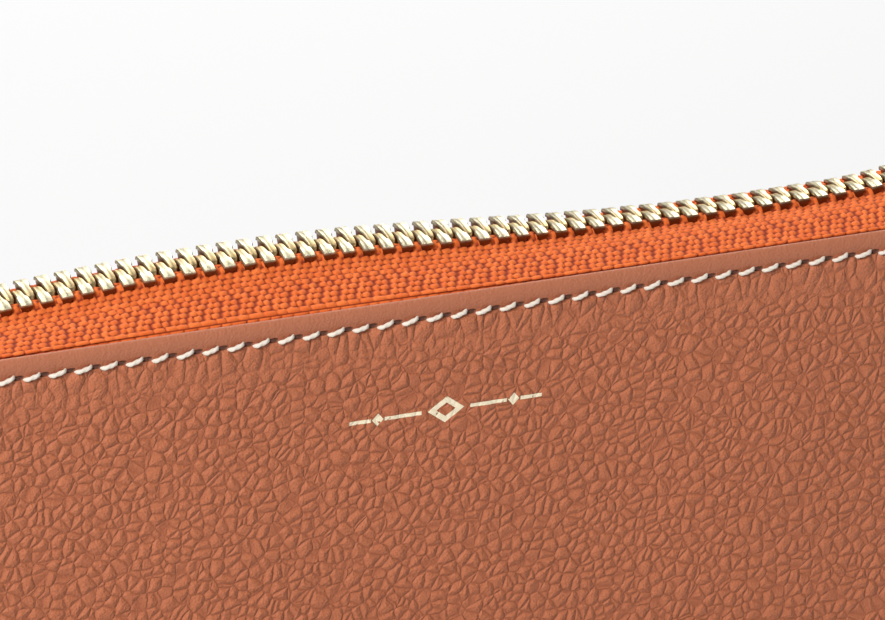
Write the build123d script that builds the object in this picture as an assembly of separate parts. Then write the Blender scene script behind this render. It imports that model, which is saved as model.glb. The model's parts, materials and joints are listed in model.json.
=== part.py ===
from build123d import *
import math
import os

# A zip around wallet that stands on its spine, closed. X runs along the spine, the front cover
# faces -Y and the zip is on top, at +Z. The origin is the centre of the spine's flat underside.

# Driving dimensions, in millimetres
LENGTH = 188.0  # of the covers, along the spine
HEIGHT = 98.0  # from the spine's underside to the covers' top edge
THICKNESS = 22.0  # over both covers, closed
CORNER_RADIUS = 18.0  # of the covers' two upper corners

# Layers of one cover, from the outside in
LEATHER = 1.2
BOARD = 0.8
LINING = 0.4
BACKING = 0.3
CARD_SLOT = 0.25
SLOT_ROWS = 4
CLEAR = 0.05  # between flat faces that slide on or lie along each other

# Where the layers of a cover begin and end, measured from the wallet's middle plane
LEATHER_IN = THICKNESS / 2 - LEATHER
BOARD_IN = LEATHER_IN - BOARD
LINING_IN = BOARD_IN - LINING
BACKING_IN = LINING_IN - BACKING
COVER_FOOT = 2.4  # lowest point of a cover's leather, above the fold of the spine
BOARD_INSET = 9.0  # the board stops short of the sewn rim
LINING_INSET = 0.8

# Main zip: chain of 2.54 mm pitch, sewn between leather and lining
PITCH = 2.54
CHAIN_PROUD = 1.6  # middle of the chain, outside the covers' edge
WAVE_HEIGHT = 1.5  # the closed chain rises and falls a little along the top
WAVE_LENGTH = 130.0
WAVE_CREST_X = -15.0
WAVE_FADE = 16.0  # length over which the wave dies out before each corner
TAPE = 0.6
TAPE_SEAM = 7.0  # width of tape inside the rim
TAPE_EDGE = 1.05  # inner edge of each tape, from the middle plane
TAPE_FOOT = 4.0
TOOTH_THICKNESS = 2.5
LEG_WIDTH = 1.32
LEG_OUT = 2.7
HEAD_WIDTH = 1.1
HEAD_REACH = 1.0
TEETH_START_Z = 20.0  # on the left side
TEETH_END_Z = 35.8  # on the right side

# Main slider, at the closed end of the zip on the right side
SLIDER_Z = 42.0
SLIDER_LENGTH = 13.5
SHOULDER = 5.3  # half width where the two rows come in
TAIL = 3.6  # half width where the closed chain leaves
SLIDER_WALL = 0.7
PLATE = 1.1
SLIDER_ROOM = 1.45  # half height of the channel for the teeth
TAPE_SLOT = 0.6  # half height of the slot for the tapes
POST = 0.7  # half width of the post that parts the rows
SPREAD = 1.8  # how far each row is pushed aside by the post

# Coin pocket, between the two bill compartments
POCKET_HALF_LENGTH = 90.0
POCKET_IN = 2.6
POCKET_OUT = 3.0
POCKET_FOOT = 3.0
POCKET_TOP = 72.0
COIN_CHAIN_Z = 81.4
COIN_PITCH = 2.0
COIN_ZIP_HALF = 78.0
COIN_TAPE = 0.4
COIN_SLIDER_X = 70.0
COIN_SLIDER_LENGTH = 9.0
COIN_SLIDER_HALF = 3.7
COIN_POST = 0.3
COIN_SPREAD = 1.1

RUN_HALF = LENGTH / 2 - CORNER_RADIUS
CORNER_Z = HEIGHT - CORNER_RADIUS
CHAIN_RADIUS = CORNER_RADIUS + CHAIN_PROUD
CHAIN_X = RUN_HALF + CHAIN_RADIUS
FRONT, REAR = -1, 1
LEFT, RIGHT = -1, 1


def slab(outline, side, inner, outer):
    """Extrudes an outline drawn in X and Z between two depths on one side of the middle plane."""
    start = max(side * inner, side * outer)
    plane = Plane(origin=(0, start, 0), x_dir=(1, 0, 0), z_dir=(0, -1, 0))
    return extrude(plane * outline, outer - inner)


def block(low, high):
    """A box between two opposite corners."""
    size = [b - a for a, b in zip(low, high)]
    middle = [(a + b) / 2 for a, b in zip(low, high)]
    return Pos(*middle) * Box(*size)


def along_x(points, low, high):
    """Extrudes an outline drawn in Y and Z from x = low to x = high."""
    plane = Plane(origin=(low, 0, 0), x_dir=(0, 1, 0), z_dir=(1, 0, 0))
    return extrude(plane * make_face(Polyline(*points, close=True)), high - low)


def cover_outline(inset=0.0, foot=COVER_FOOT):
    """The outline of a cover: square at the spine, rounded at the two upper corners."""
    top = HEIGHT - inset
    sheet = Pos(0, (foot + top) / 2) * Rectangle(LENGTH - 2 * inset, top - foot)
    corners = sheet.vertices().group_by(Axis.Y)[-1]
    return fillet(corners, CORNER_RADIUS - inset)


# Path of the closed chain round the rim


def wave(x):
    """How far the chain rises above its mean height at x along the top run."""
    ends = min(1.0, (RUN_HALF - abs(x)) / WAVE_FADE)
    fade = ends * ends * (3 - 2 * ends)
    return WAVE_HEIGHT * fade * math.cos(2 * math.pi * (x - WAVE_CREST_X) / WAVE_LENGTH)


def wave_slope(x):
    step = 0.01
    inner = max(-RUN_HALF + step, min(RUN_HALF - step, x))
    return (wave(inner + step) - wave(inner - step)) / (2 * step)


SIDE_RUN = CORNER_Z - TAPE_FOOT
CORNER_ARC = CHAIN_RADIUS * math.pi / 2
RIM_LENGTH = 2 * (SIDE_RUN + CORNER_ARC + RUN_HALF)


def rim(distance):
    """Point and direction of the chain, at a distance from the tape's left foot."""
    remaining = RIM_LENGTH - distance
    if remaining < SIDE_RUN + CORNER_ARC:
        x, z, angle = rim(remaining)
        return -x, z, -angle
    if distance < SIDE_RUN:
        return -CHAIN_X, TAPE_FOOT + distance, math.pi / 2
    if distance < SIDE_RUN + CORNER_ARC:
        turn = (distance - SIDE_RUN) / CHAIN_RADIUS
        x = -RUN_HALF - CHAIN_RADIUS * math.cos(turn)
        return x, CORNER_Z + CHAIN_RADIUS * math.sin(turn), math.pi / 2 - turn
    x = distance - SIDE_RUN - CORNER_ARC - RUN_HALF
    return x, CORNER_Z + CHAIN_RADIUS + wave(x), math.atan(wave_slope(x))


def rim_line(offset, wavy=True):
    """The chain's path from foot to foot, moved outwards by an offset, drawn in X and Z."""
    radius = CHAIN_RADIUS + offset
    edge = RUN_HALF + radius
    top = CORNER_Z + radius
    stations = 20
    if wavy:
        xs = [RUN_HALF * (2 * i / stations - 1) for i in range(stations + 1)]
        run = Spline(*[(x, top + wave(x)) for x in xs], tangents=((1, 0), (1, 0)))
    else:
        run = Line((-RUN_HALF, top), (RUN_HALF, top))
    return [
        Line((-edge, TAPE_FOOT), (-edge, CORNER_Z)),
        CenterArc((-RUN_HALF, CORNER_Z), radius, 180, -90),
        run,
        CenterArc((RUN_HALF, CORNER_Z), radius, 90, -90),
        Line((edge, CORNER_Z), (edge, TAPE_FOOT)),
    ]


def rim_band(outer, inner, inner_wavy=True):
    """The band between two offsets of the chain's path."""
    edge = RUN_HALF + CHAIN_RADIUS
    feet = [
        Line((side * (edge + outer), TAPE_FOOT), (side * (edge + inner), TAPE_FOOT))
        for side in (LEFT, RIGHT)
    ]
    return make_face(rim_line(outer) + rim_line(inner, inner_wavy) + feet)


# Covers


def cover_leather(side):
    return slab(cover_outline(), side, LEATHER_IN, THICKNESS / 2)


def rear_cover_leather():
    """The rear panel runs straight down onto the spine."""
    return slab(cover_outline(foot=LEATHER), REAR, LEATHER_IN, THICKNESS / 2)


def spine_leather():
    """The flat strip that the wallet stands on, open at the front fold."""
    half = LENGTH / 2
    fold = 0.1  # the strip ends just outside the line that the front cover turns about
    return block((-half, -LEATHER_IN - fold, 0), (half, THICKNESS / 2, LEATHER))


def spine_lining():
    half = LENGTH / 2 - LINING_INSET
    return block((-half, -LINING_IN, LEATHER), (half, LINING_IN, LEATHER + LINING))


def cover_board(side):
    foot = 6.0
    return slab(cover_outline(BOARD_INSET, foot), side, BOARD_IN, LEATHER_IN)


def cover_lining(side):
    foot = 2.6
    return slab(cover_outline(LINING_INSET, foot), side, LINING_IN, BOARD_IN)


# Card slots on the inside of each cover

CARD_HALF_LENGTH = 88.0
CARD_FOOT = 10.0
CARD_TOP = 76.0
CARD_STEP = 13.0


def card_backing(side):
    middle = (CARD_FOOT + CARD_TOP + CARD_STEP / 2) / 2
    height = CARD_TOP + CARD_STEP / 2 - CARD_FOOT
    sheet = Pos(0, middle) * Rectangle(2 * CARD_HALF_LENGTH, height)
    return slab(fillet(sheet.vertices(), 2), side, BACKING_IN, LINING_IN)


def card_slot(side, row):
    """One full-width strip; each row nearer the middle of the wallet is lower."""
    top = CARD_TOP - row * CARD_STEP
    sheet = Pos(0, (CARD_FOOT + top) / 2) * Rectangle(2 * CARD_HALF_LENGTH, top - CARD_FOOT)
    corner = fillet(sheet.vertices(), 1.5)
    outer = BACKING_IN - row * CARD_SLOT
    return slab(corner, side, outer - CARD_SLOT, outer)


# Main zip


def zip_tape(side):
    """A strip under the teeth, with a flange sewn between the leather and the lining."""
    half = TAPE / 2
    web = slab(rim_band(half, -half), side, TAPE_EDGE, LEATHER_IN)
    seam = CHAIN_PROUD + TAPE_SEAM
    flange = slab(rim_band(half, -seam, False), side, LEATHER_IN - TAPE, LEATHER_IN)
    return web + flange


def tooth_outline(side):
    """A leg that grips the tape and a narrower head that reaches past the middle plane."""
    leg, head, neck = LEG_WIDTH / 2, HEAD_WIDTH / 2, TAPE_EDGE
    points = [
        (-leg, side * LEG_OUT),
        (leg, side * LEG_OUT),
        (leg, side * neck),
        (head, side * neck),
        (head, -side * HEAD_REACH),
        (-head, -side * HEAD_REACH),
        (-head, side * neck),
        (-leg, side * neck),
    ]
    return make_face(Polyline(*points, close=True))


def spread_at(height):
    """How far a row is pushed aside near the main slider, by its height on the right side."""
    low, high = SLIDER_Z - 0.7, SLIDER_Z + 3.5
    part = max(0.0, min(1.0, (high - height) / (high - low)))
    return SPREAD * part * part * (3 - 2 * part)


def zip_teeth(side):
    """One row of teeth; the rear row sits half a pitch along from the front row."""
    tooth = extrude(tooth_outline(side), TOOTH_THICKNESS / 2, both=True)
    first = TEETH_START_Z - TAPE_FOOT
    last = RIM_LENGTH - (TEETH_END_Z - TAPE_FOOT)
    shift = PITCH / 2 if side == REAR else 0.0
    row = []
    for k in range(int((last - first - shift) / PITCH) + 1):
        x, z, angle = rim(first + shift + k * PITCH)
        aside = side * spread_at(z) if x > CHAIN_X - 1 else 0.0
        plane = Plane(
            origin=(x, aside, z),
            x_dir=(math.cos(angle), 0, math.sin(angle)),
            z_dir=(-math.sin(angle), 0, math.cos(angle)),
        )
        row.append(plane.location * tooth)
    return row


def end_stop(side):
    """A clamp on the edge of each tape that stops the slider at the closed end."""
    low, high = 31.8, 34.3
    half = 1.3
    inner, outer = sorted((side * 2.3, side * 4.6))
    return block((CHAIN_X - half, inner, low), (CHAIN_X + half, outer, high))


def open_end_stop():
    """An H-shaped clamp that ties the two tapes together where the zip begins."""
    low, high = 15.5, 18.3
    half, slot, bridge, reach = 1.3, 0.45, 0.9, 3.4
    x = -CHAIN_X
    stop = block((x - half, -reach, low), (x + half, reach, high))
    for side in (FRONT, REAR):
        inner, outer = sorted((side * bridge, side * (reach + 1)))
        stop -= block((x - slot, inner, low), (x + slot, outer, high))
    return stop


def end_tab(side):
    """A leather tab folded over the tails of both tapes, open at the top."""
    half_width, foot, top = 8.0, 3.0, 14.0
    slot = TAPE / 2 + CLEAR
    inner, outer = sorted((side * (CHAIN_X - 1.35), side * (CHAIN_X + 1.35)))
    tab = block((inner, -half_width, foot), (outer, half_width, top))
    tab = fillet(tab.edges().filter_by(Axis.Y), 0.5)
    low, high = sorted((side * (CHAIN_X - slot), side * (CHAIN_X + slot)))
    return tab - block((low, -half_width, foot + 0.9), (high, half_width, top))


# Main slider and its pull


def slider_outline(inset, foot, length, shoulder, tail):
    """A shield: wide where the rows come in, narrow where the closed chain leaves."""
    neck = 0.56 * length
    half = [
        (shoulder - inset, foot),
        (shoulder - inset, foot + neck),
        (tail - inset, foot + 0.86 * length),
        (tail - inset, foot + length),
    ]
    return make_face(Polyline(*half, *[(-y, z) for y, z in reversed(half)], close=True))


def slider_layer(outline, low, high):
    """Extrudes an outline drawn in Y and Z between two distances in X."""
    plane = Plane(origin=(low, 0, 0), x_dir=(0, 1, 0), z_dir=(1, 0, 0))
    return extrude(plane * outline, high - low)


def main_slider():
    """Two plates with turned-in edges, joined by the post that parts the rows."""
    foot = SLIDER_Z - SLIDER_LENGTH / 2
    shape = (foot, SLIDER_LENGTH, SHOULDER, TAIL)
    full = slider_outline(0.0, *shape)
    lip = full - slider_outline(SLIDER_WALL, *shape)
    far = SLIDER_ROOM + PLATE
    outer = slider_layer(full, CHAIN_X + SLIDER_ROOM, CHAIN_X + far)
    inner = slider_layer(full, CHAIN_X - far, CHAIN_X - SLIDER_ROOM)
    outer = fillet(outer.faces().sort_by(Axis.X)[-1].edges(), 0.45)
    inner = fillet(inner.faces().sort_by(Axis.X)[0].edges(), 0.45)
    outer_lip = slider_layer(lip, CHAIN_X + TAPE_SLOT, CHAIN_X + SLIDER_ROOM)
    inner_lip = slider_layer(lip, CHAIN_X - SLIDER_ROOM, CHAIN_X - TAPE_SLOT)
    post_low, post_high = foot + 0.9, foot + 5.8
    post = block((CHAIN_X - SLIDER_ROOM, -POST, post_low), (CHAIN_X + SLIDER_ROOM, POST, post_high))
    post = fillet(post.edges().filter_by(Axis.X), 0.6)
    return outer + inner + outer_lip + inner_lip + post + main_bail()


PULL_RADIUS = 0.65  # of the bar that turns under the bail
PULL_X = CHAIN_X + SLIDER_ROOM + PLATE + 0.95
PULL_Z = SLIDER_Z - 0.6


def main_bail():
    """The bridge on the outer plate that holds the pull's bar."""
    face = CHAIN_X + SLIDER_ROOM + PLATE
    half, rise, wall = 1.1, 2.6, 0.9
    low, high = SLIDER_Z - 3.6, SLIDER_Z + 4.2
    bridge = block((face - 0.3, -half, low), (face + rise, half, high))
    bridge = fillet(bridge.edges().filter_by(Axis.Y).group_by(Axis.X)[-1], 1.4)
    return bridge - block((face, -half, low + wall), (face + rise - wall, half, high - wall))


LOOP_HALF = 4.0
LOOP_LENGTH = 9.0
LOOP_BAR = 0.7


def main_pull_loop():
    """A wire loop: the upper bar turns under the bail, the lower bar carries the leather tab."""
    low = PULL_Z - LOOP_LENGTH
    corners = ((PULL_X, LOOP_HALF, PULL_Z), (PULL_X, LOOP_HALF, low))
    upper = Pos(PULL_X, 0, PULL_Z) * Rot(90, 0, 0) * Cylinder(PULL_RADIUS, 2 * LOOP_HALF)
    lower = Pos(PULL_X, 0, low) * Rot(90, 0, 0) * Cylinder(LOOP_BAR, 2 * LOOP_HALF)
    loop = upper + lower
    for y in (-LOOP_HALF, LOOP_HALF):
        loop += Pos(PULL_X, y, (PULL_Z + low) / 2) * Cylinder(LOOP_BAR, LOOP_LENGTH)
        for _, _, z in corners:
            loop += Pos(PULL_X, y, z) * Sphere(LOOP_BAR)
    return loop


def main_pull_leather():
    """A strip folded round the loop's lower bar and sewn to itself."""
    bar_z = PULL_Z - LOOP_LENGTH
    half_width, half_thick = 3.1, 1.25
    top, foot = bar_z + 1.9, 9.0
    tab = block(
        (PULL_X - half_thick, -half_width, foot), (PULL_X + half_thick, half_width, top)
    )
    tab = fillet(tab.edges().filter_by(Axis.X).group_by(Axis.Z)[0], 1.5)
    tab = fillet(tab.edges().filter_by(Axis.Y).group_by(Axis.Z)[-1], 1.1)
    return tab - Pos(PULL_X, 0, bar_z) * Rot(90, 0, 0) * Cylinder(LOOP_BAR + 0.02, 8)


# Gussets: one pleated panel at each end, between a cover and the coin pocket


def gusset(side, end):
    """A pleat whose fold points into the wallet, drawn in X and Y."""
    rim_x, edge_x, fold_x, half = 92.0, 89.6, 69.0, 0.5
    outer = [(rim_x, 8.55), (edge_x, 7.1), (fold_x - half, 5.3), (edge_x, 3.55), (91.0, 3.5)]
    inner = [(91.0, 3.9), (edge_x, 3.95), (fold_x + half, 5.3), (edge_x, 6.7), (rim_x, 8.15)]
    points = [(end * x, side * y) for x, y in outer + inner]
    low, high = 5.0, 73.0
    return extrude(Pos(0, 0, low) * make_face(Polyline(*points, close=True)), high - low)


# Coin pocket


def coin_wall(side):
    inner, outer = sorted((side * POCKET_IN, side * POCKET_OUT))
    half = POCKET_HALF_LENGTH
    wall = block((-half, inner, POCKET_FOOT), (half, outer, POCKET_TOP))
    return fillet(wall.edges().filter_by(Axis.Y), 2)


def coin_base():
    """The lining strip folded up between the two walls, with the pocket's end seams."""
    half = POCKET_HALF_LENGTH
    thick = 0.5
    foot = POCKET_FOOT + 2
    whole = block((-half, -POCKET_IN, foot), (half, POCKET_IN, POCKET_TOP))
    hollow = block(
        (-half + thick, -POCKET_IN, foot + thick), (half - thick, POCKET_IN, POCKET_TOP)
    )
    return whole - hollow


def coin_tape(side):
    """A strip under the small teeth that turns down and is sewn onto the pocket's wall."""
    edge, shoulder, seam = 0.85, 4.9, POCKET_OUT + CLEAR
    half = COIN_TAPE / 2
    bend, foot = 74.0, 66.0
    points = [
        (edge, COIN_CHAIN_Z + half),
        (shoulder, COIN_CHAIN_Z + half),
        (seam + COIN_TAPE, bend),
        (seam + COIN_TAPE, foot),
        (seam, foot),
        (seam, bend),
        (shoulder - 0.5, COIN_CHAIN_Z - half),
        (edge, COIN_CHAIN_Z - half),
    ]
    return along_x([(side * y, z) for y, z in points], -COIN_ZIP_HALF - 6, COIN_ZIP_HALF + 6)


def coin_teeth(side):
    """One row of small teeth, pushed aside by the post where the coin slider sits."""
    leg, head, thick = 0.5, 0.42, 2.0
    leg_out, neck, reach = 2.1, 0.85, 0.75
    shift = COIN_PITCH / 2 if side == REAR else 0.0
    points = [
        (-leg, leg_out),
        (leg, leg_out),
        (leg, neck),
        (head, neck),
        (head, -reach),
        (-head, -reach),
        (-head, neck),
        (-leg, neck),
    ]
    outline = make_face(Polyline(*[(x, side * y) for x, y in points], close=True))
    tooth = extrude(outline, thick / 2, both=True)
    count = int((2 * COIN_ZIP_HALF - shift) / COIN_PITCH) + 1
    row = []
    for k in range(count):
        x = -COIN_ZIP_HALF + shift + k * COIN_PITCH
        part = max(0.0, min(1.0, (x - COIN_SLIDER_X + 2.5) / 2.5))
        aside = side * COIN_SPREAD * part * part * (3 - 2 * part)
        row.append(Pos(x, aside, COIN_CHAIN_Z) * tooth)
    return row


def coin_slider():
    """A smaller slider of the same build, with its wide end towards +X."""
    room, plate, wall, slot = 1.15, 0.8, 0.45, 0.4
    length = COIN_SLIDER_LENGTH
    tail = 2.65
    foot = COIN_SLIDER_X + length / 2
    plane = Plane(origin=(foot, 0, 0), x_dir=(0, 1, 0), z_dir=(0, 0, 1))
    full = slider_outline(0.0, 0.0, length, COIN_SLIDER_HALF, tail)
    lip = full - slider_outline(wall, 0.0, length, COIN_SLIDER_HALF, tail)

    def layer(outline, low, high):
        return Pos(0, 0, COIN_CHAIN_Z + low) * extrude(plane * outline, high - low)

    upper = layer(full, room, room + plate)
    lower = layer(full, -room - plate, -room)
    upper = fillet(upper.faces().sort_by(Axis.Z)[-1].edges(), 0.3)
    lower = fillet(lower.faces().sort_by(Axis.Z)[0].edges(), 0.3)
    slider = upper + lower + layer(lip, slot, room) + layer(lip, -room, -slot)
    slider += block(
        (foot - 4.4, -COIN_POST, COIN_CHAIN_Z - room), (foot - 0.6, COIN_POST, COIN_CHAIN_Z + room)
    )
    face = COIN_CHAIN_Z + room + plate
    low, high = COIN_SLIDER_X - 2.6, COIN_SLIDER_X + 2.8
    bridge = block((low, -0.8, face - 0.2), (high, 0.8, face + 1.9))
    bridge = fillet(bridge.edges().filter_by(Axis.Y).group_by(Axis.Z)[-1], 1.0)
    return slider + bridge - block((low + 0.6, -0.8, face), (high - 0.6, 0.8, face + 1.3))


COIN_PULL_X = COIN_SLIDER_X - 0.8
COIN_PULL_Z = COIN_CHAIN_Z + 1.15 + 0.8 + 0.65


def coin_pull():
    """A small stamped tab that lies flat along the closed chain, with an eye round the bail."""
    half_width, half_thick, length = 2.3, 0.4, 11.0
    x_high = COIN_PULL_X + 0.45
    tab = block(
        (x_high - length, -half_width, COIN_PULL_Z - half_thick),
        (x_high, half_width, COIN_PULL_Z + half_thick),
    )
    tab = fillet(tab.edges().filter_by(Axis.Z), 1.1)
    eye = block(
        (x_high - 4.2, -1.0, COIN_PULL_Z - 1), (COIN_PULL_X - 0.45, 1.0, COIN_PULL_Z + 1)
    )
    return tab - eye


def save(name, shape):
    parts = shape if isinstance(shape, list) else [shape]
    export_step(Compound(children=parts) if len(parts) > 1 else parts[0], f"parts/{name}.step")


def build():
    save("rear_cover_leather", rear_cover_leather())
    save("front_cover_leather", cover_leather(FRONT))
    save("spine_leather", spine_leather())
    save("spine_lining", spine_lining())
    save("open_end_stop", open_end_stop())
    for name, side in (("front", FRONT), ("rear", REAR)):
        save(f"{name}_board", cover_board(side))
        save(f"{name}_lining", cover_lining(side))
        save(f"{name}_card_backing", card_backing(side))
        for row in range(SLOT_ROWS):
            save(f"{name}_card_slot_{row + 1}", card_slot(side, row))
        save(f"{name}_zip_tape", zip_tape(side))
        save(f"{name}_zip_teeth", zip_teeth(side))
        save(f"{name}_end_stop", end_stop(side))
        save(f"coin_pocket_{name}_wall", coin_wall(side))
        save(f"coin_{name}_tape", coin_tape(side))
        save(f"coin_{name}_teeth", coin_teeth(side))
        for end_name, end in (("left", LEFT), ("right", RIGHT)):
            save(f"{name}_{end_name}_gusset", gusset(side, end))
    save("left_end_tab", end_tab(LEFT))
    save("right_end_tab", end_tab(RIGHT))
    save("coin_pocket_base", coin_base())
    save("main_slider", main_slider())
    save("main_pull_loop", main_pull_loop())
    save("main_pull_leather", main_pull_leather())
    save("coin_slider", coin_slider())
    save("coin_pull", coin_pull())


os.makedirs("parts", exist_ok=True)
build()
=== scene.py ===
import bpy
import json
from math import cos, pi, radians, sin
import numpy as np
from mathutils import Matrix, Vector

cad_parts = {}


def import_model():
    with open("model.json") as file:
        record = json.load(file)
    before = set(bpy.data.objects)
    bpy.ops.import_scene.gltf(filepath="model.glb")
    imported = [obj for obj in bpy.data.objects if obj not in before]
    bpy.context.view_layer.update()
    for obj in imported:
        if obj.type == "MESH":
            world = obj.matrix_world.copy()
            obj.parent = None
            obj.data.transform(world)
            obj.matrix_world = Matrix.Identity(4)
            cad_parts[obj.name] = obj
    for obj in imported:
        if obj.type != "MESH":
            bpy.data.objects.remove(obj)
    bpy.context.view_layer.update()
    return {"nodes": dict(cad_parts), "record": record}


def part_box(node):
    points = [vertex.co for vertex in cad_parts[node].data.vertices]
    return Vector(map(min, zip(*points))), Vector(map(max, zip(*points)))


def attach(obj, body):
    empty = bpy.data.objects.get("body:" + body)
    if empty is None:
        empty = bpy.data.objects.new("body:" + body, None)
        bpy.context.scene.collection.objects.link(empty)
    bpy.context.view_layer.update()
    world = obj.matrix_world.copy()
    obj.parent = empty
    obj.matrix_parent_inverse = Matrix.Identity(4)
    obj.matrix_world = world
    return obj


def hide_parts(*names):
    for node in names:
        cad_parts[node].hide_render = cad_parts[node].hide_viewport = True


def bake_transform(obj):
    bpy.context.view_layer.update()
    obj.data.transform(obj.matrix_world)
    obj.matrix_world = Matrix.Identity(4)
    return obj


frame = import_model()

# Lengths below are in millimetres, in the CAD model's frame: X along the spine, the front cover
# faces -Y, Z up, the spine's underside at zero. MM turns them into Blender's metres.
MM = 0.001
FRONT, REAR = -1, 1
SIDE_NAMES = {FRONT: "front", REAR: "rear"}


def node_box(node):
    """Lowest and highest corner of a CAD node, in millimetres."""
    low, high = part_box(node)
    return np.array(low) / MM, np.array(high) / MM


cover_low, cover_high = node_box("front_cover_leather")
HALF_LENGTH = cover_high[0]
TOP = cover_high[2]
FACE = -cover_low[1]
LEATHER = cover_high[1] - cover_low[1]
LEATHER_IN = FACE - LEATHER
CORNER = 18.0

# The one-piece cover, laid flat: t runs from the rear panel's top edge over the spine to the front's
FOLD = 2.2
SPINE_FLAT = FACE - FOLD
FOLD_ARC = FOLD * pi / 2
PANEL_START = SPINE_FLAT + FOLD_ARC
FLAT_HALF = PANEL_START + TOP - FOLD
ROLL = 1.1  # width of the rounded, turned edge
TURNED_UNDER = 5.0
SEAM = 2.5  # from the edge to the line of stitches
STITCH_PITCH = 3.18
STITCH_HALF = 1.12
STITCH_SLANT = radians(17)
THREAD = 0.27
GROOVE_DEPTH = 0.24
SLACK = 0.25
PEBBLE_DEPTH = 0.13 * MM

# Closed chain of the main zip
PITCH = 2.54
CHAIN_PROUD = 1.6
WAVE_HEIGHT = 1.5
WAVE_LENGTH = 130.0
WAVE_CREST_X = -15.0
WAVE_FADE = 16.0
DIP_DEPTH, DIP_X, DIP_LENGTH = 0.85, 9.0, 30.0  # a shallow dip right of the crest
LEAN = radians(4)  # along the top run the closed chain is tipped towards the front
TWIST = 3.2  # to the right it turns the other way, by this many times LEAN
RUN_HALF = HALF_LENGTH - CORNER
CORNER_Z = TOP - CORNER
CHAIN_RADIUS = CORNER + CHAIN_PROUD
CHAIN_X = RUN_HALF + CHAIN_RADIUS
TAPE_FOOT = 4.0
SIDE_RUN = CORNER_Z - TAPE_FOOT
CORNER_ARC = CHAIN_RADIUS * pi / 2
RIM_LENGTH = 2 * (SIDE_RUN + CORNER_ARC + RUN_HALF)
TEETH_START_Z, TEETH_END_Z = 20.0, 35.8
SLIDER_Z = 42.0
SPREAD = 1.8

SKIN_CELL = 0.42
TAPE_CELL = 0.17
PANEL_CELL = 2.0

# The rear half has sunk along the top
SUNK_FORWARD, SUNK_DOWN = 3.7, 2.2
SUNK_BEHIND = 4.0


def smooth(value, low, high):
    """0 below low, 1 above high and an easy curve between them."""
    part = np.clip((value - low) / (high - low), 0, 1)
    return part * part * (3 - 2 * part)


def settle(points):
    """The wallet's rear half has sunk a little along the top: those points move forward and down."""
    x, y, z = points[..., 0], points[..., 1], points[..., 2]
    sunk = smooth(z, 52.0, 97.0) * smooth(-np.abs(x), -HALF_LENGTH - 4, -HALF_LENGTH + 34)
    behind = sunk * np.clip(y - SUNK_BEHIND, 0, None) / (FACE - SUNK_BEHIND)
    return np.stack([x, y - SUNK_FORWARD * behind, z - SUNK_DOWN * behind], axis=-1)


# Meshes


def grid_quads(rows, columns, start=0):
    """Faces of a grid of points stored row by row."""
    first = start + np.arange(rows - 1)[:, None] * columns + np.arange(columns - 1)[None, :]
    corners = [first, first + 1, first + columns + 1, first + columns]
    return np.stack(corners, axis=-1).reshape(-1, 4)


def ring_quads(inner, outer):
    """Faces between two closed loops of point numbers."""
    return np.stack([inner, np.roll(inner, -1), np.roll(outer, -1), outer], axis=-1)


def tube(rings, first=0):
    """Points and faces of a closed shape through rings of points; its flat ends are strips."""
    points = np.asarray(rings, float)
    number = np.arange(points.shape[0] * points.shape[1]).reshape(points.shape[:2])
    quads = [ring_quads(number[k], number[k + 1]) for k in range(len(number) - 1)]
    for ring in (np.roll(number[0], -first)[::-1], np.roll(number[-1], -first)):
        strips = range(len(ring) // 2 - 1)
        cap = [[ring[k], ring[k + 1], ring[-k - 2], ring[-k - 1]] for k in strips]
        quads.append(np.array(cap))
    return points.reshape(-1, 3), np.concatenate(quads)


def turned_out(points, quads):
    """The faces, with their normals pointing out of the shape that they close."""
    a, b, c, d = (points[quads[:, k]] for k in range(4))
    volume = np.einsum("ij,ij->i", a, np.cross(b, c) + np.cross(c, d)).sum()
    return quads if volume > 0 else quads[:, ::-1]


def mesh_of(name, points, quads):
    """A smooth-shaded mesh; its points are given in millimetres."""
    mesh = bpy.data.meshes.new(name)
    mesh.vertices.add(len(points))
    mesh.vertices.foreach_set("co", (np.asarray(points, float) * MM).ravel())
    mesh.loops.add(quads.size)
    mesh.loops.foreach_set("vertex_index", quads.astype(np.int32).ravel())
    mesh.polygons.add(len(quads))
    mesh.polygons.foreach_set("loop_start", np.arange(0, quads.size, 4, dtype=np.int32))
    mesh.polygons.foreach_set("use_smooth", np.full(len(quads), True))
    mesh.update(calc_edges=True)
    mesh.validate()
    return mesh


def placed(name, data):
    """A new object in the scene that shows a mesh, light or camera."""
    thing = bpy.data.objects.new(name, data)
    bpy.context.scene.collection.objects.link(thing)
    return thing


def piece_of(name, mesh, material, slot):
    piece = placed(name, mesh)
    mesh.materials.clear()
    mesh.materials.append(material)
    return piece


def closed_piece(name, points, quads, material, slot):
    """A piece whose faces close a shape, with their normals pointing out of it."""
    return piece_of(name, mesh_of(name, points, turned_out(points, quads)), material, slot)


def vector_attribute(mesh, name, values):
    layer = mesh.attributes.new(name, "FLOAT_VECTOR", "POINT")
    layer.data.foreach_set("vector", np.asarray(values, np.float32).ravel())


def joined(parts):
    """Points and faces of several shapes as one."""
    points, quads, count = [], [], 0
    for some_points, some_quads in parts:
        points.append(some_points)
        quads.append(some_quads + count)
        count += len(some_points)
    return np.concatenate(points), np.concatenate(quads)


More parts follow.
